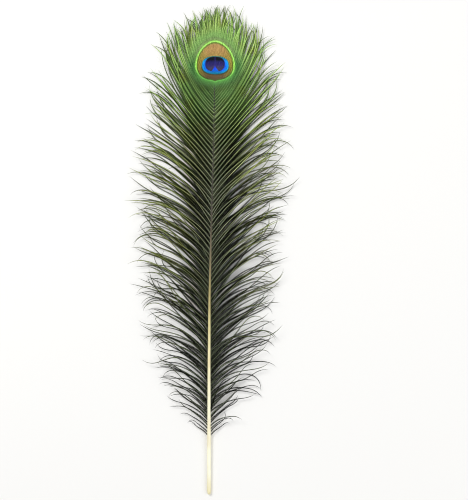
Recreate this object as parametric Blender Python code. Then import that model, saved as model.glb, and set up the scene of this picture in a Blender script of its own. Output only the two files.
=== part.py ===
"""Peacock tail feather, lying face up: a bare quill and shaft with a vane of barbs on each side.

Metres, +Z up. The quill's tip points along -Y and the eye's fringe along +Y. The origin is on the
surface the feather lies on, under the middle of its outline. Sizes below are in millimetres.
"""
import bmesh
import bpy
from math import cos, pi, sin, radians

MM = 0.001

# Overall sizes
QUILL_END_Y = -250.0        # cut end of the bare quill
SHAFT_END_Y = 197.5         # where the shaft runs out, inside the eye
BOW_HEIGHT = 6.0            # how far the middle of the shaft stands off the surface
BOW_END_Y = 150.0           # beyond this the shaft lies on the surface
GAP = 0.3                   # clearance between the shaft and each vane
VANE_THICKNESS = 0.6
CENTRE_GAP = 0.15           # half of the gap between the two vanes beyond the shaft's tip
LOWEST_CENTRE = 0.3         # the shaft's thin end keeps its middle at least this high

# Shaft: (y, radius). The first ROUNDED_ROWS rows are the quill's rounded end.
SHAFT_RADII = [(-250.0, 0.9), (-249.4, 1.4), (-248.2, 1.75), (-246.0, 2.0), (-240.0, 2.1),
               (-205.0, 2.05), (-146.0, 1.75), (-86.0, 1.5), (-46.0, 1.25), (-6.0, 1.0),
               (34.0, 0.78), (84.0, 0.62), (134.0, 0.48), (170.0, 0.36), (197.5, 0.25)]
# Shaft: (y, sideways position)
SHAFT_LINE = [(-250.0, -5.5), (-120.0, -5.5), (-46.0, -5.0), (-6.0, -4.0), (34.0, -3.0),
              (84.0, -1.4), (134.0, -0.4), (170.0, 0.0), (200.0, 0.0)]
ROUNDED_ROWS = 5
FULL_QUILL_Y = -246.0       # the quill rests on the surface from here up
LINE_ROUNDING = 12.0        # the corners of SHAFT_LINE are rounded over this reach
SHAFT_RINGS = 60
SHAFT_SIDES = 12

# Barbs: (root y, leaving angle, arriving angle, tip's offset sideways, tip's offset along).
# Angles are from the shaft's direction, in degrees.
BARBS = [(-192.0, 38.0, 62.0, 19.0, 14.0),
         (-172.0, 36.0, 68.0, 45.0, 28.0),
         (-140.0, 34.0, 72.0, 66.0, 38.0),
         (-100.0, 34.0, 74.0, 78.0, 46.0),
         (-50.0, 34.0, 74.0, 85.0, 53.0),
         (0.0, 34.0, 74.0, 86.5, 57.0),
         (54.0, 35.0, 72.0, 83.0, 60.0),
         (92.0, 39.0, 52.0, 74.0, 74.0),
         (113.0, 44.0, 32.0, 64.0, 86.0),
         (134.0, 47.0, 17.0, 51.0, 92.0),
         (150.0, 46.0, 10.0, 40.0, 86.0),
         (165.0, 38.0, 6.0, 27.0, 79.0),
         (180.0, 24.0, 3.0, 14.0, 69.0),
         (198.3, 0.0, 0.0, 0.0, 51.7)]
BARB_ROUNDING = 4.0         # the corners of BARBS are rounded over this reach
# Teeth of the edge, one for each group of barbs: (root y, pitch along the shaft, how far out the
# edge reaches between two teeth). The low barbs hang loose, so their teeth are deep.
TEETH = [(-192.0, 9.0, 0.72),
         (-20.0, 9.0, 0.74),
         (100.0, 6.0, 0.93),
         (198.3, 6.0, 0.93)]
TOOTH_SKEW = 0.55           # where the tooth's point stands in its pitch
LAST_TOOTH_ROOM = 1.5       # no tooth is rooted nearer than this to the shaft's tip
DROOP_END = 0.5             # the share of a barb's length where it reaches the surface
ACROSS = [0.0, 0.1, 0.24, 0.4, 0.56, 0.72, 0.87, 1.0]      # shares of a barb where it has points

# Colours and roughness of the horn and of the barbs
HORN_CREAM = (0.80, 0.72, 0.42)
HORN_ROUGHNESS = 0.35
BARB_GREEN = (0.06, 0.12, 0.03)
BARB_ROUGHNESS = 0.55


def clear_scene():
    for item in list(bpy.data.objects):
        bpy.data.objects.remove(item, do_unlink=True)


def along(table, y):
    """Values of a table at y, by straight lines between its rows."""
    if y <= table[0][0]:
        return table[0][1:]
    for low, high in zip(table, table[1:]):
        if y <= high[0]:
            share = (y - low[0]) / (high[0] - low[0])
            return tuple(a + (b - a) * share for a, b in zip(low[1:], high[1:]))
    return table[-1][1:]


def smooth_along(table, y, reach):
    """The same, averaged over a short stretch, so that the table's corners are rounded."""
    rows = [along(table, y + step * reach) for step in (-1.0, -0.5, 0.0, 0.5, 1.0)]
    return tuple(sum(column) / len(rows) for column in zip(*rows))


def shaft_radius(y):
    return along(SHAFT_RADII, y)[0]


def shaft_centre(y):
    """Sideways position and height of the shaft's centre line."""
    share = min(max((y - QUILL_END_Y) / (BOW_END_Y - QUILL_END_Y), 0.0), 1.0)
    bow = BOW_HEIGHT * sin(pi * share) ** 2
    lift = max(shaft_radius(max(y, FULL_QUILL_Y)), LOWEST_CENTRE)
    return smooth_along(SHAFT_LINE, y, LINE_ROUNDING)[0], lift + bow


def barb_point(side, root_y, share):
    """Plan position on a barb, at a share of its way from the shaft to its tip."""
    leave, arrive, tip_x, tip_y = smooth_along(BARBS, root_y, BARB_ROUNDING)
    centre_x = shaft_centre(root_y)[0]
    if root_y > SHAFT_END_Y:
        start_x, centre_x = CENTRE_GAP, 0.0
        leave, arrive, tip_x, tip_y = BARBS[-1][1:]
    else:
        start_x = shaft_radius(root_y) + GAP
    reach = (tip_x ** 2 + tip_y ** 2) ** 0.5
    s, t = share, 1.0 - share
    pull_0 = s * t * t * reach
    pull_1 = -s * s * t * reach
    blend = s * s * (3.0 - 2.0 * s)
    x = start_x + blend * tip_x + pull_0 * sin(radians(leave)) + pull_1 * sin(radians(arrive))
    y = root_y + blend * tip_y + pull_0 * cos(radians(leave)) + pull_1 * cos(radians(arrive))
    # the left vane's outline is measured from the same centre line as the right one's
    x += side * centre_x * (1.0 - blend)
    return side * x, y


def new_node(name, mesh_builder, colour, roughness):
    mesh = bpy.data.meshes.new(name)
    shape = bmesh.new()
    mesh_builder(shape)
    bmesh.ops.recalc_face_normals(shape, faces=shape.faces)
    shape.to_mesh(mesh)
    shape.free()
    node = bpy.data.objects.new(name, mesh)
    bpy.context.collection.objects.link(node)
    material = bpy.data.materials.new(name)
    material.use_nodes = True
    shader = material.node_tree.nodes["Principled BSDF"]
    shader.inputs["Base Color"].default_value = (*colour, 1.0)
    shader.inputs["Roughness"].default_value = roughness
    shader.inputs["Metallic"].default_value = 0.0
    mesh.materials.append(material)
    return node


def build_shaft(shape):
    """A tapering tube, closed at both ends, rounded where the quill ends."""
    stations = [row[0] for row in SHAFT_RADII[:ROUNDED_ROWS]]
    first = stations[-1]
    for step in range(1, SHAFT_RINGS + 1):
        stations.append(first + (SHAFT_END_Y - first) * step / SHAFT_RINGS)
    rings = []
    for y in stations:
        x, z = shaft_centre(y)
        radius = shaft_radius(y)
        ring = []
        for step in range(SHAFT_SIDES):
            angle = 2.0 * pi * step / SHAFT_SIDES
            point = (x + radius * cos(angle), y, z + radius * sin(angle))
            ring.append(shape.verts.new([value * MM for value in point]))
        rings.append(ring)
    for low, high in zip(rings, rings[1:]):
        for step in range(SHAFT_SIDES):
            after = (step + 1) % SHAFT_SIDES
            shape.faces.new((low[step], low[after], high[after], high[step]))
    shape.faces.new(rings[0])
    shape.faces.new(rings[-1])


def root_rows():
    """Root positions along the shaft, each with how far out the vane's edge reaches there."""
    rows = []
    y = BARBS[0][0]
    last_y = SHAFT_END_Y - LAST_TOOTH_ROOM
    while y < last_y:
        pitch, cut = along(TEETH, y)
        rows.append((y, cut))
        rows.append((y + pitch * TOOTH_SKEW, 1.0))
        y += pitch
    while rows[-1][0] > last_y:
        rows.pop()
    rows.append((SHAFT_END_Y, TEETH[-1][2]))
    rows.append((BARBS[-1][0], 1.0))
    return rows


def build_vane(side):
    """A thin sheet from the shaft's side to the barbs' tips, toothed like the barbs' ends."""
    def build(shape):
        under, over = [], []
        for root_y, reach in root_rows():
            root_z = max(shaft_centre(root_y)[1] - 0.5 * VANE_THICKNESS, 0.0)
            if root_y >= BOW_END_Y:
                root_z = 0.0
            low, high = [], []
            for share in ACROSS:
                x, y = barb_point(side, root_y, share * reach)
                fall = min(share * reach / DROOP_END, 1.0)
                z = root_z * (1.0 - fall * fall * (3.0 - 2.0 * fall))
                low.append(shape.verts.new((x * MM, y * MM, z * MM)))
                high.append(shape.verts.new((x * MM, y * MM, (z + VANE_THICKNESS) * MM)))
            under.append(low)
            over.append(high)
        for sheet in (under, over):
            for one, two in zip(sheet, sheet[1:]):
                for step in range(len(ACROSS) - 1):
                    shape.faces.new((one[step], one[step + 1], two[step + 1], two[step]))
        rim_under = under[0] + [row[-1] for row in under[1:]] + under[-1][-2::-1]
        rim_under += [row[0] for row in under[-2:0:-1]]
        rim_over = over[0] + [row[-1] for row in over[1:]] + over[-1][-2::-1]
        rim_over += [row[0] for row in over[-2:0:-1]]
        count = len(rim_under)
        for step in range(count):
            after = (step + 1) % count
            shape.faces.new((rim_under[step], rim_under[after], rim_over[after], rim_over[step]))
    return build


clear_scene()
new_node("shaft", build_shaft, HORN_CREAM, HORN_ROUGHNESS)
new_node("vane_left", build_vane(-1.0), BARB_GREEN, BARB_ROUGHNESS)
new_node("vane_right", build_vane(1.0), BARB_GREEN, BARB_ROUGHNESS)
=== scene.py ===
"""One peacock tail feather, lying face up on a white table, seen from straight above.

Shapes are worked out in millimetres along the frame's axes: y runs along the feather, from the
quill's end to the fringe above the eye, x runs across it to the right, and z up from the table.
"""

import bmesh
import bpy
import numpy as np
from math import cos, pi, radians, sin
from mathutils import Matrix, Vector


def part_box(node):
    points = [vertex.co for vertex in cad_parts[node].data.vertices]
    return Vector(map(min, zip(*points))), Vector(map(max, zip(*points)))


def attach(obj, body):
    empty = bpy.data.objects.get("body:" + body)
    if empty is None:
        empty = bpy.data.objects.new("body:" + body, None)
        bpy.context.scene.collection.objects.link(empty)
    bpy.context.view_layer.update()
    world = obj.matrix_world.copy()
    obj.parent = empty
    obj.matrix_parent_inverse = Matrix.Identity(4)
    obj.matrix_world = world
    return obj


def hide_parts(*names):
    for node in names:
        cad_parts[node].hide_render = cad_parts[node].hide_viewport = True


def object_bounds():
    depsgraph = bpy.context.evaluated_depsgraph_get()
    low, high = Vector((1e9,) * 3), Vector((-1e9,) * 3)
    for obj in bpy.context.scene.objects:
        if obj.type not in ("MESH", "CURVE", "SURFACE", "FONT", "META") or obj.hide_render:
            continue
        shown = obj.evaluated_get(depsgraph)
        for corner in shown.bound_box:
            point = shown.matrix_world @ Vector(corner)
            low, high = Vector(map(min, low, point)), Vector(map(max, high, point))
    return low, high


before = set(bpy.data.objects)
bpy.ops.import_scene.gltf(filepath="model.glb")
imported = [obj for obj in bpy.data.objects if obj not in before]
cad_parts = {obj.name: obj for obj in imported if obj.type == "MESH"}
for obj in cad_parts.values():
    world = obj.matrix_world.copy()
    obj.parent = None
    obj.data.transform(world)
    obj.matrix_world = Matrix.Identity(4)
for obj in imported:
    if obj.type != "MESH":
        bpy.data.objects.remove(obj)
cad_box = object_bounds()
MM = 0.001


# ------------------------------------------------------------------------------------------------
# The table and the light. The feather lies on a matt white board in a white room, under one wide
# soft lamp at the upper left and a weaker, wider one at the right, as for a catalogue picture.
# ------------------------------------------------------------------------------------------------
TABLE_REACH = 6.0           # metres from the middle of the board to each edge
TABLE_DROP = 0.02           # millimetres from the feather down to the board, so the two never meet
ROOM_BRIGHTNESS = 0.64
CAMERA_HEIGHT = 2.2         # metres
VIEW_LENGTH = 0.512         # metres of table in view from top to bottom, a little over the feather's
VIEW_CENTRE = (0.020, 0.0)  # the feather lies left of the middle
SENSOR = 24.0               # millimetres, from the top to the bottom of the camera's sensor

scene = bpy.context.scene
scene.view_settings.view_transform = "Standard"
scene.view_settings.look = "None"
scene.cycles.filter_width = 1.0     # keeps the fine barbs crisp


def linear(text):
    """A hex colour, as it looks on a screen, in the linear values that shaders take."""
    parts = [int(text[i:i + 2], 16) / 255.0 for i in (1, 3, 5)]
    return tuple(c / 12.92 if c <= 0.04045 else ((c + 0.055) / 1.055) ** 2.4 for c in parts) + (1.0,)


def add(tree, kind, inputs=(), **settings):
    """Adds a node with its settings. Each input is given a value, or a link from a socket or from
    another node's first output."""
    node = tree.nodes.new("ShaderNode" + kind)
    for name, value in settings.items():
        setattr(node, name, value)
    for key, value in dict(inputs).items():
        if isinstance(value, bpy.types.Node):
            value = next(socket for socket in value.outputs if socket.enabled)
        if isinstance(value, bpy.types.NodeSocket):
            tree.links.new(value, node.inputs[key])
        else:
            node.inputs[key].default_value = value
    return node


def new_material(name):
    """A material and its tree, which is still empty."""
    material = bpy.data.materials.new(name)
    material.use_nodes = True
    material.node_tree.nodes.clear()
    return material, material.node_tree


def new_piece(name, mesh, *materials):
    """Puts a finished mesh in the scene with its materials."""
    for material in materials:
        mesh.materials.append(material)
    piece = bpy.data.objects.new(name, mesh)
    scene.collection.objects.link(piece)
    return piece


def soft_lamp(name, place, width, power):
    """A square lamp with a wide diffuser, turned to the middle of the feather."""
    lamp = bpy.data.lights.new(name, "AREA")
    lamp.shape = "SQUARE"
    lamp.size = width
    lamp.energy = power
    holder = bpy.data.objects.new(name, lamp)
    holder.location = place
    holder.rotation_euler = (-Vector(place)).to_track_quat("-Z", "Y").to_euler()
    scene.collection.objects.link(holder)


# Painted board, rolled matt: it shows the feather's soft shadow and no gloss.
matt_white_board, tree = new_material("matt_white_board")
surface = add(tree, "BsdfPrincipled", {"Base Color": linear("#f2f1ee"), "Roughness": 0.85,
                                       "Specular IOR Level": 0.2})
add(tree, "OutputMaterial", {"Surface": surface})

table_form = bmesh.new()
bmesh.ops.create_grid(table_form, x_segments=1, y_segments=1, size=TABLE_REACH)
bmesh.ops.translate(table_form, verts=table_form.verts, vec=(0.0, 0.0, -TABLE_DROP * MM))
table_mesh = bpy.data.meshes.new("table_top")
table_form.to_mesh(table_mesh)
table_form.free()
table_top = new_piece("table_top", table_mesh, matt_white_board)

room = bpy.data.worlds.new("white_room")
room.use_nodes = True
room.node_tree.nodes["Background"].inputs["Color"].default_value = linear("#f8f9fb")
room.node_tree.nodes["Background"].inputs["Strength"].default_value = ROOM_BRIGHTNESS
scene.world = room
soft_lamp("key_lamp", (-0.9, 0.9, 1.5), width=0.7, power=19.0)
soft_lamp("fill_lamp", (1.3, -0.5, 1.4), width=1.4, power=11.0)

camera_data = bpy.data.cameras.new("overhead_camera")
camera_data.sensor_fit = "VERTICAL"
camera_data.sensor_height = SENSOR
camera_data.lens = SENSOR * CAMERA_HEIGHT / VIEW_LENGTH
camera = bpy.data.objects.new("overhead_camera", camera_data)
camera.location = (*VIEW_CENTRE, CAMERA_HEIGHT)
scene.collection.objects.link(camera)
scene.camera = camera


# ------------------------------------------------------------------------------------------------
# The quill and shaft. One horny tube of keratin that grew as a piece: a bare, hollow, cream quill,
# then the shaft, grooved beneath and filled with pith, which thins and browns towards the eye.
# It is one ring drawn out along the shaft's line, a short length at a time.
# ------------------------------------------------------------------------------------------------
shaft_low, shaft_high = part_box("shaft")
QUILL_END = shaft_low[1] / MM
SHAFT_TIP = shaft_high[1] / MM
BOW_HEIGHT = 6.0            # how far the middle of the shaft stands off the table
BOW_END = 150.0             # from here on, the shaft lies on the table
FULL_QUILL = -246.0         # the quill rests on the table from here on
LOWEST_MIDDLE = 0.3         # the thin end keeps its middle at least this high
# y and radius. The first ROUNDED_ROWS rows are the quill's rounded end.
SHAFT_RADII = np.array([(-250.0, 0.9), (-249.4, 1.4), (-248.2, 1.75), (-246.0, 2.0), (-240.0, 2.1),
                        (-205.0, 2.05), (-146.0, 1.75), (-86.0, 1.5), (-46.0, 1.25), (-6.0, 1.0),
                        (34.0, 0.78), (84.0, 0.62), (134.0, 0.48), (170.0, 0.36), (197.5, 0.25)])
ROUNDED_ROWS = 5
# y and sideways place of the shaft's middle, with its corners rounded over LINE_ROUNDING.
SHAFT_LINE = np.array([(-250.0, -5.5), (-120.0, -5.5), (-46.0, -5.0), (-6.0, -4.0), (34.0, -3.0),
                       (84.0, -1.4), (134.0, -0.4), (170.0, 0.0), (200.0, 0.0)])
LINE_ROUNDING = 12.0
SHAFT_SIDES = 20
EVEN_RINGS = 150            # rings from FIRST_EVEN_RING to the tip
FIRST_EVEN_RING = -236.0
GROOVE_START = -200.0       # the groove under the shaft starts here
GROOVE_FULL = -120.0        # and is full from here on
GROOVE_REACH = 0.45         # how far its sides reach up from the underside, in radii
GROOVE_DEPTH = 0.42         # in radii
SIDE_FLATTENING = 0.07      # how far the grooved shaft's sides are drawn in, in radii


def rounded(table, y, reach):
    """The values of a table at y, averaged over a short reach on both sides of it."""
    rows = [[np.interp(y + step * reach, table[:, 0], column) for column in table.T[1:]]
            for step in (-1.0, -0.5, 0.0, 0.5, 1.0)]
    return np.mean(rows, axis=0)


def shaft_radius(y):
    return np.interp(y, SHAFT_RADII[:, 0], SHAFT_RADII[:, 1])


def shaft_middle(y):
    """Sideways place and height of the shaft's middle."""
    share = np.clip((y - QUILL_END) / (BOW_END - QUILL_END), 0.0, 1.0)
    lift = max(shaft_radius(max(y, FULL_QUILL)), LOWEST_MIDDLE)
    return rounded(SHAFT_LINE, y, LINE_ROUNDING)[0], lift + BOW_HEIGHT * sin(pi * share) ** 2


def lay_ring(verts, y):
    """Puts a ring of the shaft in its place: round at the quill, grooved beneath further on."""
    x, z = shaft_middle(y)
    radius = shaft_radius(y)
    grooved = float(np.clip((y - GROOVE_START) / (GROOVE_FULL - GROOVE_START), 0.0, 1.0))
    for step, vert in enumerate(verts):
        angle = 2.0 * pi * step / SHAFT_SIDES
        across, up = cos(angle), sin(angle)
        under = max(0.0, GROOVE_REACH - (1.0 + up)) / GROOVE_REACH
        up += GROOVE_DEPTH * grooved * under * (1.0 - abs(across)) ** 2
        across *= 1.0 - SIDE_FLATTENING * grooved * (1.0 - abs(up))
        vert.co = Vector((x + radius * across, y, z + radius * up)) * MM


shaft_form = bmesh.new()
ring = bmesh.ops.create_circle(shaft_form, cap_ends=True, segments=SHAFT_SIDES, radius=1.0)["verts"]
ring_edges = list(shaft_form.edges)
ring_places = [*SHAFT_RADII[:ROUNDED_ROWS, 0], *np.linspace(FIRST_EVEN_RING, SHAFT_TIP, EVEN_RINGS)]
lay_ring(ring, ring_places[0])
for y in ring_places[1:]:
    drawn = bmesh.ops.extrude_edge_only(shaft_form, edges=ring_edges)["geom"]
    new_verts = {part for part in drawn if isinstance(part, bmesh.types.BMVert)}
    # the new ring, in the order of the last one
    ring = [next(edge.other_vert(vert) for edge in vert.link_edges if edge.other_vert(vert) in new_verts)
            for vert in ring]
    ring_edges = [part for part in drawn
                  if isinstance(part, bmesh.types.BMEdge) and new_verts.issuperset(part.verts)]
    lay_ring(ring, y)
bmesh.ops.contextual_create(shaft_form, geom=ring_edges)
bmesh.ops.recalc_face_normals(shaft_form, faces=shaft_form.faces)
for face in shaft_form.faces:
    face.smooth = True
shaft_mesh = bpy.data.meshes.new("quill_and_shaft")
shaft_form.to_mesh(shaft_mesh)
shaft_form.free()

SHARE, UNDER, OVER = 0, 6, 7        # the sockets of a Mix node that mixes colours


def banded(tree, measure, *bands):
    """Bands of colour along a measure, each with its place and its colour, blending in between."""
    low, high = bands[0][0], bands[-1][0]
    along = add(tree, "MapRange", {"Value": measure, "From Min": low, "From Max": high})
    colours = add(tree, "ValToRGB", {"Fac": along})
    stops = colours.color_ramp.elements
    while len(stops) < len(bands):
        stops.new(0.5)
    for stop, (place, colour) in zip(stops, bands):
        stop.position = (place - low) / (high - low)
        stop.color = linear(colour)
    return colours


def laid_over(tree, under, over, measure, none, full, most=1.0, how="MIX"):
    """One colour laid over another: not at all where the measure is at none, and by the share most
    where it is at full."""
    share = add(tree, "MapRange", {"Value": measure, "From Min": none, "From Max": full, "To Max": most})
    return add(tree, "Mix", {SHARE: share, UNDER: under, OVER: over}, data_type="RGBA", blend_type=how)


# Keratin, grown as a polished tube: cream and waxy at the quill, with faint tan stains and fine
# growth streaks along it, then browner and darker from the middle of the feather on.
STREAKS = (2.5, 0.03, 2.5)          # per millimetre: 0.4 mm wide and 33 mm long
STAINS = 0.06                       # per millimetre: 17 mm across
STREAK_DEPTH = 0.1
quill_keratin, tree = new_material("quill_keratin")
place = add(tree, "VectorMath", {0: add(tree, "TexCoord").outputs["Object"], "Scale": 1.0 / MM},
            operation="SCALE")
y = add(tree, "SeparateXYZ", {0: place}).outputs["Y"]
horn = banded(tree, y, (-250.0, "#efe4b2"), (-227.5, "#fffce2"), (-160.0, "#fffbda"),
              (-115.0, "#f8efc0"), (-79.0, "#e0d49a"), (-56.5, "#bcae78"), (-38.5, "#a3945f"),
              (-20.5, "#8b7c58"), (2.0, "#70644a"), (24.5, "#51493a"), (51.5, "#3b352a"),
              (200.0, "#26221a"))
stretched = add(tree, "Mapping", {"Vector": place, "Scale": STREAKS})
streaks = add(tree, "TexNoise", {"Vector": stretched, "Scale": 1.0, "Detail": 3.0, "Roughness": 0.6})
stains = add(tree, "TexNoise", {"Vector": place, "Scale": STAINS, "Detail": 2.0})
horn = laid_over(tree, horn, linear("#8d7d4e"), streaks, 0.45, 0.8, most=0.4, how="MULTIPLY")
horn = laid_over(tree, horn, linear("#d9b98a"), stains, 0.5, 0.8, most=0.35, how="MULTIPLY")
rough = add(tree, "MapRange", {"Value": streaks, "From Min": 0.2, "From Max": 0.8,
                               "To Min": 0.28, "To Max": 0.48})
ridges = add(tree, "Bump", {"Height": streaks, "Strength": 0.25, "Distance": STREAK_DEPTH * MM})
surface = add(tree, "BsdfPrincipled", {"Base Color": horn, "Roughness": rough, "Normal": ridges,
                                       "IOR": 1.54})
add(tree, "OutputMaterial", {"Surface": surface})

quill_and_shaft = new_piece("quill_and_shaft", shaft_mesh, quill_keratin)
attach(quill_and_shaft, "root")
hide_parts("shaft")


# ------------------------------------------------------------------------------------------------
# The barbs round the eye. Each is a keratin thread with a comb of barbules down both sides, grown
# from the shaft. Here the combs hook into each other and make one smooth silky face. A straight
# barb is made, then bent along each barb's own line, and all of them are joined into one piece.
# ------------------------------------------------------------------------------------------------
EYE_FROM = 138.0            # the lowest barb that takes part in the eye grows from here
HIGHEST_ROOT = 198.3        # just past the shaft's tip
FEATHER_END = cad_box[1][1] / MM
PAST_END = 0.15             # a barb keeps only this share of what it would reach past that end
# The barbs' lines: root y, leaving and arriving angle from the shaft's direction in degrees, and the
# tip's offset from the root, sideways and along. Corners are rounded over BARB_ROUNDING.
BARBS = np.array([(-192.0, 38.0, 62.0, 18.0, 14.0),
                  (-172.0, 36.0, 68.0, 42.0, 28.0),
                  (-140.0, 34.0, 72.0, 62.0, 38.0),
                  (-100.0, 34.0, 74.0, 72.0, 46.0),
                  (-50.0, 34.0, 74.0, 78.0, 53.0),
                  (0.0, 34.0, 74.0, 79.0, 57.0),
                  (54.0, 35.0, 72.0, 77.0, 60.0),
                  (92.0, 39.0, 52.0, 71.0, 74.0),
                  (113.0, 44.0, 32.0, 62.0, 86.0),
                  (134.0, 47.0, 17.0, 51.0, 92.0),
                  (150.0, 46.0, 10.0, 40.0, 86.0),
                  (165.0, 38.0, 6.0, 27.0, 79.0),
                  (180.0, 24.0, 3.0, 14.0, 69.0),
                  (198.3, 0.0, 0.0, 0.0, 51.0)])
BARB_ROUNDING = 4.0
# The barbs leave the shaft's sides, and over CLOSING their roots close over its top. They stand this
# far aside and up from the shaft's middle before it and after it, in radii.
CLOSING = (160.0, 174.0)
ROOT_ASIDE = (0.5, -0.3)
ROOT_UP = (0.25, 1.35)
POINTS = 60                 # points along a barb's line
STEPS = np.linspace(0.0, 1.0, POINTS)
HOOK_FROM = 0.7             # the share of a barb's length from which its tip hooks
DROOP_END = 0.5             # the share at which it has come down from the shaft
LIFT_FROM = 0.6             # the share from which its tip rises
LOWEST_LINE = 0.45          # no barb's line comes nearer the table than this
LOWEST_EDGE = 0.05          # and no edge of a barb nearer than this
# Real barbules are about 0.04 mm apart, too fine to show, so they are drawn this far apart.
BARBULE_PITCH = 0.5
BARBULE_FILL = 0.95         # the share of its pitch that a barbule fills at its root
BARBULE_TAPER = 0.75        # the share of that which is left at its tip
BARBULE_LEAN = 1.1          # how far its tip leans towards the barb's tip
FEWEST_BARBULES = 6
THREAD_SIDES = 3
THREAD_RINGS = 30
THREAD_HEIGHT = 1.2         # a thread is this much taller than it is wide
COMB_TILT = 0.06            # how far a comb tips to one side, in comb widths
COMB_UNEVENNESS = 0.06      # how far its barbules stand out of line, in comb widths
# Each barb has its own strip of the bake's chart. These are the middle and half width of the comb's
# and of the thread's share of it.
COMB_STRIP = (0.4, 0.34)
THREAD_STRIP = (0.88, 0.05)
CHART_MARGIN = 0.002
chance = np.random.default_rng(11)


def straight_barb(length):
    """A barb lying along y from 0 to 1, as arrays. Each vertex has its share of the length, and its
    place across the comb or round the thread, out to 1. Vertices and faces say if they are the
    thread's."""
    form = bmesh.new()
    # one side of the comb: a strip cut apart into barbules, which then narrow and lean
    barbules = max(int(round(length / BARBULE_PITCH)), FEWEST_BARBULES)
    bmesh.ops.create_grid(form, x_segments=1, y_segments=barbules, size=0.5)
    bmesh.ops.translate(form, verts=form.verts, vec=(0.5, 0.5, 0.0))
    bmesh.ops.split_edges(form, edges=[edge for edge in form.edges if len(edge.link_faces) == 2])
    for face in form.faces:
        middle = face.calc_center_median().y
        for vert in face.verts:
            at_tip = vert.co.x > 0.5
            fill = BARBULE_FILL * BARBULE_TAPER if at_tip else BARBULE_FILL
            vert.co.y = middle + (vert.co.y - middle) * fill
            vert.co.y += BARBULE_LEAN / length if at_tip else 0.0
    # the other side is its mirror image
    other = bmesh.ops.duplicate(form, geom=form.verts[:] + form.edges[:] + form.faces[:])["geom"]
    other_verts = [part for part in other if isinstance(part, bmesh.types.BMVert)]
    other_faces = [part for part in other if isinstance(part, bmesh.types.BMFace)]
    bmesh.ops.scale(form, verts=other_verts, vec=(-1.0, 1.0, 1.0))
    bmesh.ops.reverse_faces(form, faces=other_faces)
    comb_verts, comb_faces = len(form.verts), len(form.faces)
    # the thread: an even three-sided tube, which each barb draws almost to a point at its tip
    tube = bmesh.ops.create_cone(form, cap_ends=False, segments=THREAD_SIDES, radius1=1.0, radius2=1.0,
                                 depth=1.0, matrix=Matrix.Rotation(-pi / 2.0, 4, "X"))["verts"]
    lengthways = dict.fromkeys(edge for vert in tube for edge in vert.link_edges
                               if abs(edge.verts[0].co.y - edge.verts[1].co.y) > 0.5)
    bmesh.ops.subdivide_edges(form, edges=list(lengthways), cuts=THREAD_RINGS - 1, use_grid_fill=True)
    form.verts.index_update()
    spots = np.array([vert.co for vert in form.verts])
    faces = np.array([[vert.index for vert in face.verts] for face in form.faces])
    form.free()
    thread = np.arange(len(spots)) >= comb_verts
    spots[thread, 1] += 0.5
    return {"share": spots[:, 1], "thread": thread, "across": np.where(thread, 0.0, spots[:, 0]),
            "side": np.where(thread, spots[:, 0], 0.0), "up": np.where(thread, spots[:, 2], 0.0),
            "faces": faces, "thread_faces": np.arange(len(faces)) >= comb_faces}


def barb_line(side, root, stretch, swing, bend, hook, waves, free_from):
    """A barb's line seen from above, as its x and y at each step. The bend turns it more and more,
    the waves sway it and the hook turns its tip. The bend and the waves start where the barb comes
    free of its neighbours, and the swing turns all of one that is free from its root."""
    leave, arrive, tip_x, tip_y = rounded(BARBS, root, BARB_ROUNDING)
    reach = float(np.hypot(tip_x, tip_y))
    there, back = STEPS, 1.0 - STEPS
    blend = there * there * (3.0 - 2.0 * there)
    leaving, arriving = there * back * back * reach, there * there * back * reach
    x = blend * tip_x + leaving * sin(radians(leave)) - arriving * sin(radians(arrive))
    y = blend * tip_y + leaving * cos(radians(leave)) - arriving * cos(radians(arrive))
    dx, dy = np.diff(x) * stretch, np.diff(y) * stretch
    middle = (STEPS[1:] + STEPS[:-1]) * 0.5
    free = np.clip((middle - free_from) / (1.0 - free_from), 0.0, 1.0)
    size, count, start = waves
    turn = swing * (free_from == 0.0) + bend * free
    turn += hook * np.clip((middle - HOOK_FROM) / (1.0 - HOOK_FROM), 0.0, 1.0) ** 1.5
    turn = np.radians(turn + size * free * np.sin(2.0 * pi * (count * middle + start)))
    x = np.concatenate([[0.0], np.cumsum(dx * np.cos(turn) + dy * np.sin(turn))])
    y = np.concatenate([[0.0], np.cumsum(dy * np.cos(turn) - dx * np.sin(turn))]) + root
    aside = shaft_radius(root) * np.interp(root, CLOSING, ROOT_ASIDE)
    x = side * (aside + x) + shaft_middle(root)[0]
    return x, np.minimum(y, FEATHER_END + PAST_END * (y - FEATHER_END))


def barb_height(root, layer, arch, lift):
    """Height at each step: from the shaft's side down to the barb's layer, arched, its tip lifted."""
    start = shaft_middle(root)[1] + shaft_radius(root) * np.interp(root, CLOSING, ROOT_UP)
    drop = np.clip(STEPS / DROOP_END, 0.0, 1.0)
    drop = drop * drop * (3.0 - 2.0 * drop)
    rise = np.clip((STEPS - LIFT_FROM) / (1.0 - LIFT_FROM), 0.0, 1.0) ** 2
    height = start * (1.0 - drop) + layer * drop + arch * np.sin(pi * STEPS) + lift * rise
    return np.maximum(height, LOWEST_LINE)


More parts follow.
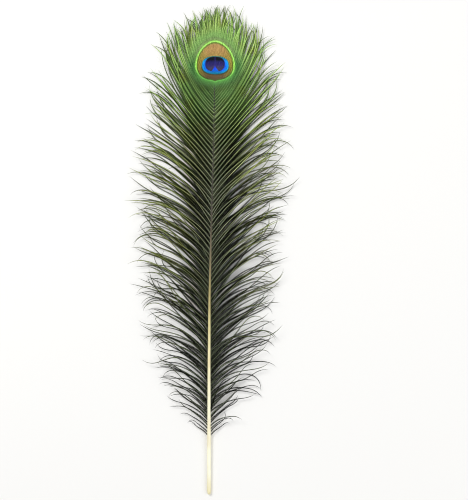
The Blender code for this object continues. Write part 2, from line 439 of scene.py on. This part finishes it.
def bent(barb):
    """The places of a barb's vertices: the straight barb, bent along its line and rolled about it."""
    form, line = barb["form"], barb["line"]
    lengths = np.linalg.norm(np.diff(line, axis=0), axis=1)
    run = np.concatenate([[0.0], np.cumsum(lengths)]) / lengths.sum()
    even = np.stack([np.interp(STEPS, run, column) for column in line.T], axis=1)
    ahead = np.gradient(even, axis=0)
    ahead /= np.linalg.norm(ahead, axis=1)[:, None]
    level = np.cross(ahead, (0.0, 0.0, 1.0))
    level /= np.linalg.norm(level, axis=1)[:, None]
    upward = np.cross(level, ahead)
    roll = np.radians(barb["roll"])[:, None]
    out = level * np.cos(roll) + upward * np.sin(roll)
    over = upward * np.cos(roll) - level * np.sin(roll)

    def at_verts(values):
        return np.stack([np.interp(form["share"], STEPS, column) for column in values.T], axis=1)

    width = np.interp(form["share"], STEPS, barb["width"])
    thick = np.interp(form["share"], STEPS, barb["thick"])
    across = form["across"]
    uneven = chance.normal(0.0, COMB_UNEVENNESS, len(across))
    rise = (uneven - barb["sag"]) * np.abs(across) + COMB_TILT * across
    aside = across * width + form["side"] * thick
    above = np.where(form["thread"], form["up"] * thick * THREAD_HEIGHT, rise * width)
    spots = at_verts(even) + at_verts(out) * aside[:, None] + at_verts(over) * above[:, None]
    # barbules that lean past the tip are carried on along the barb's last direction
    past = np.maximum(form["share"] - 1.0, 0.0) * lengths.sum()
    spots += ahead[-1] * past[:, None]
    spots[:, 2] = np.maximum(spots[:, 2], LOWEST_EDGE)
    return spots


def grow(name, barbs, comb_material, thread_material):
    """Joins all the barbs into one piece. Each vertex keeps its barb's mark, and each barb has its
    own strip of the bake's chart."""
    spots, faces, thread_faces, marks, charts = [], [], [], [], []
    first = 0
    for row, barb in enumerate(barbs):
        form = barb["form"]
        spots.append(bent(barb))
        faces.append(form["faces"] + first)
        thread_faces.append(form["thread_faces"])
        marks.append(np.full(len(form["share"]), barb["mark"]))
        along = CHART_MARGIN + (1.0 - 2.0 * CHART_MARGIN) * np.clip(form["share"], 0.0, 1.0)
        strip = np.where(form["thread"], THREAD_STRIP[0] + THREAD_STRIP[1] * form["side"],
                         COMB_STRIP[0] + COMB_STRIP[1] * form["across"])
        charts.append(np.stack([along, (row + strip) / len(barbs)], axis=1))
        first += len(form["share"])
    mesh = bpy.data.meshes.new(name)
    mesh.from_pydata((np.concatenate(spots) * MM).tolist(), [], np.concatenate(faces).tolist())
    piece = new_piece(name, mesh, comb_material, thread_material)
    mesh.polygons.foreach_set("material_index", np.concatenate(thread_faces).astype(np.int32))
    # the materials slip the markings by the mark, and use it for painted shading and painted highlight
    strand = mesh.attributes.new("strand", "FLOAT", "POINT")
    strand.data.foreach_set("value", np.concatenate(marks))
    corners = np.empty(len(mesh.loops), np.int32)
    mesh.loops.foreach_get("vertex_index", corners)
    chart = mesh.uv_layers.new(name="OFBake")
    chart.data.foreach_set("uv", np.concatenate(charts)[corners].ravel())
    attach(piece, "root")
    return piece


# How the barbs change along the shaft: root y, their spacing, how wildly they lie (0 to 1), how much
# the barbs of a tuft draw together, half the comb's width where it is full and where it is free, the
# thread's radius, the share of the barb that is hooked to its neighbours, and how deep the barbs lie
# on each other.
HABITS = ("spacing", "wild", "draw", "full_half", "free_half", "thick", "held", "depth")
HABIT = np.array([(-192.0, 3.4, 1.0, 0.1, 0.6, 0.42, 0.18, 0.0, 4.0),
                  (-170.0, 2.1, 1.0, 0.15, 0.8, 0.52, 0.2, 0.0, 4.2),
                  (-120.0, 1.8, 0.95, 0.2, 0.95, 0.56, 0.2, 0.0, 4.5),
                  (-40.0, 1.45, 0.75, 0.4, 1.1, 0.58, 0.2, 0.0, 4.0),
                  (50.0, 1.35, 0.4, 0.6, 1.2, 0.62, 0.21, 0.0, 3.2),
                  (110.0, 1.4, 0.2, 0.6, 1.2, 0.7, 0.22, 0.15, 2.2),
                  (140.0, 1.2, 0.14, 0.3, 1.15, 0.74, 0.21, 0.4, 1.0),
                  (165.0, 0.95, 0.16, 0.2, 1.0, 0.64, 0.16, 0.6, 0.5),
                  (182.0, 0.9, 0.17, 0.15, 0.97, 0.62, 0.15, 0.53, 0.5),
                  (198.0, 0.85, 0.18, 0.1, 0.95, 0.6, 0.14, 0.38, 0.5)])
LARGEST_TUFT = 5
SPACING_CHANCE = (0.85, 1.15)       # how unevenly they are spaced
TUFT_LENGTH = (0.94, 1.05)          # a tuft's length beside that of its lines in BARBS
BARB_LENGTH = (0.9, 1.04)           # and a barb's length beside its tuft's
WILD_SHORTENING = 0.12              # where they lie wildest, the shortest are shorter by this
GATHER_SHARE = (0.3, 1.0)           # how much of a tuft's drawing together a barb takes part in
# One barb in so many lies on top of the others and catches the light, helped by a painted highlight:
# one in four up to TOP_CHANGES, one in three from there on. A barb's mark says how far up it lies, from
# 0 to 1, and the colours are darkened or lightened by it as painted shading.
TOP_EVERY_LOW = 4
TOP_EVERY_HIGH = 3
TOP_CHANGES = 135.0
TOP_MARK = (0.75, 1.0)
UNDER_MARK = (0.0, 0.5)
# How far barbs stray from their line: where they lie neatest, and how much more where they lie
# wildest. The first six are turns in degrees, and the last two are in millimetres.
TUFT_LEAN = (1.5, 4.0)
SWING = (0.5, 4.0)
BEND = (1.5, 11.0)
HOOK = (26.0, 36.0)
SWAY = (5.0, 30.0)
ROLL = (6.0, 42.0)
ARCH = (0.0, 3.0)
TIP_LIFT = (2.5, 3.0)
HOOK_DROOP = 16.0           # where they lie wildest, tips hook outward and down by this on average
HOOK_LIMITS = (-75.0, 80.0)
SWAYS = (0.5, 1.3)          # how many times a barb sways along its length
ROLL_KNOTS = 6              # its roll changes at so many places
STILL_ROLL = 0.15           # the share of its roll that a barb keeps where it is hooked
ROLL_GROWS_OVER = 1.0 / 3.0  # the share of its length over which it takes on all of it
# A few barbs stray right across their neighbours, but none of those in the eye.
STRAY_SHARE = 0.06
STRAYS_BELOW = 160.0
STRAY_SWING = 8.0
STRAY_HEIGHT = 1.5
LOWEST_LAYER = 0.6          # the barbs that lie deepest are this high
HOOKED_FACE = 0.3           # barbs with more than this share hooked lie flat with their neighbours
HOOKED_SAG = 0.06           # how far the edges of their combs hang, in comb widths
LOOSE_SAG = 0.15            # and how far those of loose combs do
LEAST_FULL = 0.35           # even a loose comb keeps its full width over this share of the barb
NARROWS_OVER = 0.25         # and goes over to its free width within this share
# The thread of a barb that lies deepest has this share of the thickness in HABIT, and that of one on
# top has so much more. THREAD_TAPER draws it almost to a point: shares of the barb, then of the
# thickness.
DEEP_THICKNESS = 0.4
TOP_THICKNESS = 0.8
THREAD_TAPER = ((0.0, 0.9, 1.0), (1.0, 0.45, 0.06))


def habit_at(root):
    return {name: np.interp(root, HABIT[:, 0], column) for name, column in zip(HABITS, HABIT.T[1:])}


def astray(limits, wild):
    """How far barbs stray when they lie this wildly."""
    neatest, more = limits
    return neatest + more * wild


def one_barb(side, root, on_top, tuft_middle, tuft_lean, tuft_stretch):
    """A barb of a tuft: the straight barb, its line, and its width, thickness and roll at each step."""
    habit = habit_at(root)
    wild, held, depth = habit["wild"], habit["held"], habit["depth"]
    mark = chance.uniform(*(TOP_MARK if on_top else UNDER_MARK))
    # the barbs of a tuft draw together towards their tips
    reach = float(np.hypot(*rounded(BARBS, root, BARB_ROUNDING)[2:]))
    apart = np.degrees(2.0 * (root - tuft_middle) / reach / (1.0 - held))
    gather = habit["draw"] * apart * chance.uniform(*GATHER_SHARE)
    stray = chance.uniform() < STRAY_SHARE and root < STRAYS_BELOW
    shortest, longest = BARB_LENGTH
    stretch = tuft_stretch * chance.uniform(shortest - WILD_SHORTENING * wild, longest)
    swing = chance.normal(0.0, astray(SWING, wild))
    if stray:
        swing += chance.normal(0.0, STRAY_SWING)
    bend = (tuft_lean + gather + chance.normal(0.0, astray(BEND, wild))) / (1.0 - held)
    hook = float(np.clip(chance.normal(HOOK_DROOP * wild, astray(HOOK, wild)), *HOOK_LIMITS))
    waves = (chance.uniform(0.0, astray(SWAY, wild)), chance.uniform(*SWAYS), chance.uniform())
    x, y = barb_line(side, root, stretch, swing, bend, hook, waves, free_from=held)
    z = barb_height(root, layer=LOWEST_LAYER + depth * mark + STRAY_HEIGHT * stray,
                    arch=0.5 * depth * mark + chance.uniform(0.0, astray(ARCH, wild)),
                    lift=chance.uniform(0.0, astray(TIP_LIFT, wild)))
    # the roll changes slowly along the barb, and is small where it is hooked
    knots = chance.uniform(-1.0, 1.0, ROLL_KNOTS)
    roll = np.interp(STEPS, np.linspace(0.0, 1.0, ROLL_KNOTS), knots) * astray(ROLL, wild)
    roll *= np.clip((STEPS - held) / ROLL_GROWS_OVER, STILL_ROLL, 1.0)
    # the comb is full as far as it is hooked, then narrower, and drawn almost to a point at its tip
    full_half, free_half, opens = habit["full_half"], habit["free_half"], max(held, LEAST_FULL)
    width = np.interp(STEPS, (0.0, 0.04, opens, opens + NARROWS_OVER, 0.86, 0.94, 1.0),
                      (0.6 * full_half, full_half, full_half, free_half, 0.8 * free_half,
                       0.45 * free_half, 0.06))
    thick = habit["thick"] * (DEEP_THICKNESS + TOP_THICKNESS * mark) * np.interp(STEPS, *THREAD_TAPER)
    length = np.hypot(np.diff(x), np.diff(y)).sum()
    return {"form": straight_barb(length), "line": np.column_stack([x, y, z]), "width": width,
            "thick": thick, "roll": roll, "mark": mark,
            "sag": HOOKED_SAG if held > HOOKED_FACE else LOOSE_SAG}


def barbs_between(side, low, high):
    """The barbs rooted between two places on one side, in tufts that lean together."""
    roots = [low]
    while roots[-1] < high:
        roots.append(roots[-1] + habit_at(roots[-1])["spacing"] * chance.uniform(*SPACING_CHANCE))
    roots.pop()
    barbs = []
    while roots:
        count = int(chance.integers(1, LARGEST_TUFT + 1))
        tuft, roots = roots[:count], roots[count:]
        middle = sum(tuft) / len(tuft)
        lean = chance.normal(0.0, astray(TUFT_LEAN, habit_at(middle)["wild"]))
        stretch = chance.uniform(*TUFT_LENGTH)
        for root in tuft:
            top_every = TOP_EVERY_LOW if root < TOP_CHANGES else TOP_EVERY_HIGH
            on_top = (len(barbs) + 1) % top_every == 0
            barbs.append(one_barb(side, root, on_top, middle, lean, stretch))
    return barbs


SLIP = 0.4                  # how far the markings slip from barb to barb
BLOTCHES = 0.055            # per millimetre: 18 mm across


def on_feather(tree):
    """The place on the feather in millimetres, then its x and y, and the barb's mark. The markings
    are laid down barb by barb and never quite line up, so y slips a little from barb to barb."""
    place = add(tree, "VectorMath", {0: add(tree, "TexCoord").outputs["Object"], "Scale": 1.0 / MM},
                operation="SCALE")
    split = add(tree, "SeparateXYZ", {0: place})
    strand = add(tree, "Attribute", attribute_name="strand").outputs["Fac"]
    slip = add(tree, "MapRange", {"Value": strand, "To Min": -0.5 * SLIP, "To Max": 0.5 * SLIP})
    y = add(tree, "Math", {0: split.outputs["Y"], 1: slip}, operation="ADD")
    return place, split.outputs["X"], y, strand


def vane_colour(tree, place, x, y, strand):
    """Loose barbules: near black along the lower shaft, bright green under the eye, olive at the
    edges. They are browner in blotches, and carry painted shading: darker on the barbs that lie
    deep, lighter as a painted highlight on those on top, most of all under the eye."""
    inner = banded(tree, y, (-200.0, "#121a0d"), (-65.0, "#0d1308"), (47.5, "#0c1107"),
                   (101.5, "#0f1609"), (119.5, "#18250f"), (139.75, "#273c1c"), (155.5, "#41602f"),
                   (169.0, "#51743b"), (191.5, "#658748"), (209.5, "#729c4a"), (250.0, "#789e46"))
    outer = banded(tree, y, (-200.0, "#2a2f24"), (-110.0, "#2f3724"), (-51.5, "#3f4a28"),
                   (2.5, "#566230"), (101.5, "#647638"), (151.0, "#6c8440"), (200.5, "#789c4a"),
                   (250.0, "#80a54c"))
    aside = add(tree, "Math", {0: x}, operation="ABSOLUTE")
    colour = laid_over(tree, inner, outer, aside, 20.0, 66.0)
    blotches = add(tree, "TexNoise", {"Vector": place, "Scale": BLOTCHES, "Detail": 3.0})
    colour = laid_over(tree, colour, linear("#f6c48c"), blotches, 0.45, 0.7, most=0.8, how="MULTIPLY")
    # painted shading: barbs that lie deep are darkened, least in the fringe, and barbs on top are
    # lightened as a painted highlight, most near the eye
    painted_shading_deep = add(tree, "MapRange", {"Value": y, "From Min": 200.0, "From Max": 240.0,
                                  "To Min": 0.36, "To Max": 0.5})
    on_top = add(tree, "MapRange", {"Value": y, "From Min": 120.0, "From Max": 180.0,
                                    "To Min": 1.0, "To Max": 1.42})
    painted_light_by_depth = add(tree, "MapRange", {"Value": strand, "From Min": 0.15, "From Max": 0.85,
                                   "To Min": painted_shading_deep, "To Max": on_top})
    return add(tree, "VectorMath", {0: colour, "Scale": painted_light_by_depth}, operation="SCALE")


def oval(tree, x, y, middle, half_width, above, below, squareness):
    """How far out a point is on an oval: 0 in its middle, 1 on its edge. Its upper and lower halves
    have their own heights and their own squareness, where 2 is a plain ellipse."""
    aside = add(tree, "Math", {0: x, 1: middle[0]}, operation="SUBTRACT")
    rise = add(tree, "Math", {0: y, 1: middle[1]}, operation="SUBTRACT")
    # the halves go over into each other within a millimetre
    halves = {"Value": rise, "From Min": -0.5, "From Max": 0.5}
    height = add(tree, "MapRange", {**halves, "To Min": below, "To Max": above})
    power = add(tree, "MapRange", {**halves, "To Min": squareness[1], "To Max": squareness[0]})
    parts = []
    for offset, size in ((aside, half_width), (rise, height)):
        scaled = add(tree, "Math", {0: offset, 1: size}, operation="DIVIDE")
        outward = add(tree, "Math", {0: scaled}, operation="ABSOLUTE")
        parts.append(add(tree, "Math", {0: outward, 1: power}, operation="POWER"))
    total = add(tree, "Math", {0: parts[0], 1: parts[1]}, operation="ADD")
    inverse = add(tree, "Math", {0: 1.0, 1: power}, operation="DIVIDE")
    return add(tree, "Math", {0: total, 1: inverse}, operation="POWER")


EYE_X = 0.6                 # the middle of the eye, across the feather
LOWER_HALF = 186.0          # the eye's lower half is under this
POINT_HALF = 3.2            # the small point on the shaft at the foot of the ring: half its width
POINT_DEPTH = 1.344         # and its depth
NOTCH_TOP = 189.1           # the notch in the foot of the pupil starts here
NOTCH_SPREAD = 0.2          # and widens with its depth
NOTCH_FLARE = 0.07          # and with the square of its depth


def eye_colour(tree, x, y):
    """The eye's markings, and how far out a point is on the green ring's oval."""
    offset = add(tree, "Math", {0: x, 1: EYE_X}, operation="SUBTRACT")
    aside = add(tree, "Math", {0: offset}, operation="ABSOLUTE")
    point = add(tree, "MapRange", {"Value": aside, "From Min": POINT_HALF, "From Max": 0.0,
                                   "To Max": POINT_DEPTH})
    in_lower_half = add(tree, "Math", {0: y, 1: LOWER_HALF}, operation="LESS_THAN")
    ring_y = add(tree, "Math", {0: point, 1: in_lower_half, 2: y}, operation="MULTIPLY_ADD")
    ring = oval(tree, x, ring_y, (EYE_X, 189.4), 19.7, above=24.6, below=16.1, squareness=(1.85, 2.35))
    blue = oval(tree, x, y, (0.9, 188.6), 13.7, above=9.9, below=8.6, squareness=(2.5, 2.25))
    pupil = oval(tree, x, y, (EYE_X, 190.2), 10.0, above=7.8, below=7.6, squareness=(2.45, 2.3))

    # bronze: tan at the top, olive gold at the sides, and a painted shadow of dark olive close under the
    # blue
    bronze = banded(tree, y, (174.0, "#5c5535"), (177.9, "#6a553a"), (181.8, "#6b5a39"),
                    (189.6, "#86723c"), (197.4, "#a48a48"), (203.25, "#b59157"), (213.0, "#b8935e"))
    bronze = laid_over(tree, bronze, linear("#98903c"), aside, 8.0, 18.0, most=0.85)
    # the painted shadow: dark olive just outside the blue, over its lower part only
    painted_shadow_share = add(tree, "MapRange", {"Value": y, "From Min": 190.0, "From Max": 184.0, "To Max": 0.85})
    bronze = laid_over(tree, bronze, linear("#383c22"), blue, 1.16, 1.03, most=painted_shadow_share)

    # the ring and the greens that follow it: above, beside and beneath the eye
    above = banded(tree, ring, (0.9, "#7e8644"), (0.9385, "#6c7a36"), (0.9605, "#98d65a"),
                   (0.9858, "#b8f874"), (1.01, "#a6e672"), (1.0375, "#84a85c"), (1.12, "#7d975e"),
                   (1.197, "#79a058"), (1.351, "#7eaa5a"), (1.604, "#82a658"), (2.0, "#84a256"))
    beside = banded(tree, ring, (0.9, "#6c7c2e"), (0.9385, "#64742a"), (0.9605, "#9ce452"),
                    (0.988, "#bcfa6e"), (1.0155, "#a2e462"), (1.0485, "#5c9a48"), (1.142, "#44743c"),
                    (1.252, "#508044"), (1.395, "#62904c"), (1.604, "#688c48"), (2.0, "#6e8e46"))
    beneath = banded(tree, ring, (0.9, "#5a6034"), (0.9385, "#4b5e2a"), (0.966, "#62a84c"),
                     (0.9935, "#76c45c"), (1.021, "#64ac4e"), (1.076, "#5a9648"), (1.197, "#548444"),
                     (1.351, "#4a6c3a"), (1.604, "#3a5428"), (2.0, "#2c4420"))
    outside = laid_over(tree, beside, above, y, 190.0, 204.0)
    outside = laid_over(tree, outside, beneath, y, 187.0, 177.0)
    face = laid_over(tree, bronze, outside, ring, 0.87, 0.91)

    # azure: bright inside, teal at its edges, most of all at the top and the foot
    azure = banded(tree, blue, (0.6, "#1b44e6"), (0.7, "#1556ee"), (0.8, "#0e78f6"),
                   (0.9, "#0f98f0"), (0.96, "#129ad8"), (1.0, "#24808a"))
    azure = laid_over(tree, azure, linear("#2f7c6e"), y, 193.5, 197.6, most=0.95)
    azure = laid_over(tree, azure, linear("#12748a"), y, 184.6, 180.8, most=0.95)
    face = laid_over(tree, face, azure, blue, 1.03, 0.98)

    # the pupil: black at the top, violet lower down, with a bright blue notch that widens downward
    dark = banded(tree, y, (183.0, "#4e4454"), (185.88, "#42405e"), (189.48, "#2f286c"),
                  (192.36, "#232264"), (193.944, "#17183e"), (194.952, "#0a0e1c"), (197.4, "#050a10"))
    dark = laid_over(tree, dark, linear("#182036"), pupil, 0.8, 0.97, most=0.5)
    below_top = add(tree, "Math", {0: NOTCH_TOP, 1: y}, operation="SUBTRACT")
    depth = add(tree, "Math", {0: below_top, 1: 0.0}, operation="MAXIMUM")
    slope = add(tree, "Math", {0: depth, 1: NOTCH_FLARE, 2: NOTCH_SPREAD}, operation="MULTIPLY_ADD")
    notch_half = add(tree, "Math", {0: depth, 1: slope}, operation="MULTIPLY")
    inside = add(tree, "Math", {0: notch_half, 1: aside}, operation="SUBTRACT")
    notch = banded(tree, y, (181.0, "#0f74ac"), (183.0, "#0a6cc8"), (184.2, "#0a62e8"),
                   (185.0, "#0f58fc"), (186.2, "#1a4af6"), (187.4, "#283ee0"), (189.0, "#3430a0"))
    dark = laid_over(tree, dark, notch, inside, -0.6, 0.5)
    return laid_over(tree, face, dark, pupil, 1.04, 0.96), ring


# Keratin barbules hooked into one face, flat plates over layers that throw back one colour: the eye
# shines like silk, with a coloured gloss like a metal's and little white glare.
eye_barbules, tree = new_material("eye_barbule_keratin")
place, x, y, strand = on_feather(tree)
face, ring = eye_colour(tree, x, y)
face = laid_over(tree, face, vane_colour(tree, place, x, y, strand), ring, 1.32, 1.8)
surface = add(tree, "BsdfPrincipled", {"Base Color": face, "Roughness": 0.42, "Metallic": 0.6,
                                       "Specular IOR Level": 0.25})
add(tree, "OutputMaterial", {"Surface": surface})

# Loose keratin barbules, the same plates turned every way: they look dark and velvety.
loose_barbules, tree = new_material("loose_barbule_keratin")
place, x, y, strand = on_feather(tree)
colour = vane_colour(tree, place, x, y, strand)
surface = add(tree, "BsdfPrincipled", {"Base Color": colour, "Roughness": 0.45, "Metallic": 0.3,
                                       "Specular IOR Level": 0.04})
add(tree, "OutputMaterial", {"Surface": surface})

# Solid keratin threads, paler than their combs: each barb shows as a fine light line, partly its own
# colour and partly a painted highlight. They are grey green by the shaft, yellow green further out,
# and take on the eye's colours inside it.
barb_thread, tree = new_material("barb_thread_keratin")
place, x, y, strand = on_feather(tree)
near = banded(tree, y, (-200.0, "#4c5440"), (-110.0, "#687058"), (-51.5, "#7a8266"), (2.5, "#8a9276"),
              (61.0, "#9ca484"), (97.0, "#a0ac80"), (124.0, "#a0ae78"), (151.0, "#9cbe74"),
              (191.5, "#b4d47c"), (227.5, "#c2d08a"), (250.0, "#cfd0a0"))
far = banded(tree, y, (-200.0, "#525c40"), (-110.0, "#66704a"), (-51.5, "#828c50"), (2.5, "#a0a85c"),
             (97.0, "#b4be66"), (151.0, "#b0cc6a"), (205.0, "#bcd080"), (250.0, "#cfd0a0"))
aside = add(tree, "Math", {0: x}, operation="ABSOLUTE")
horn = laid_over(tree, near, far, aside, 6.0, 50.0)
# painted shading: the threads of deep barbs are darkened, and those on top are lightened as a painted
# highlight
painted_light_by_depth = add(tree, "MapRange", {"Value": strand, "From Min": 0.3, "From Max": 0.85,
                               "To Min": 0.15, "To Max": 1.25})
horn = add(tree, "VectorMath", {0: horn, "Scale": painted_light_by_depth}, operation="SCALE")
face, ring = eye_colour(tree, x, y)
fade_end = add(tree, "MapRange", {"Value": y, "From Min": 190.0, "From Max": 165.0,
                                  "To Min": 1.6, "To Max": 3.0})
face = laid_over(tree, face, horn, ring, 1.2, fade_end)
surface = add(tree, "BsdfPrincipled", {"Base Color": face, "Roughness": 0.4, "Metallic": 0.3,
                                       "Specular IOR Level": 0.25})
add(tree, "OutputMaterial", {"Surface": surface})

for side, tag in ((-1.0, "left"), (1.0, "right")):
    barbs = barbs_between(side, EYE_FROM, HIGHEST_ROOT)
    piece = grow("eye_barbs_" + tag, barbs, eye_barbules, barb_thread)
    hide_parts("vane_" + tag)


# ------------------------------------------------------------------------------------------------
# The loose barbs below the eye. The same threads and combs, but their barbules have no hooks, so
# every barb lies as it falls: close and even under the eye, thin, crossed and curled lower down.
# ------------------------------------------------------------------------------------------------
LOWEST_ROOT = -190.0
SIDE_FROM = 30.0            # the side barbs grow from here up, and the low ones from here down

for side, tag in ((-1.0, "left"), (1.0, "right")):
    for name, low, high in (("side_barbs_", SIDE_FROM, EYE_FROM), ("low_barbs_", LOWEST_ROOT, SIDE_FROM)):
        piece = grow(name + tag, barbs_between(side, low, high), loose_barbules, barb_thread)
        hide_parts("vane_" + tag)
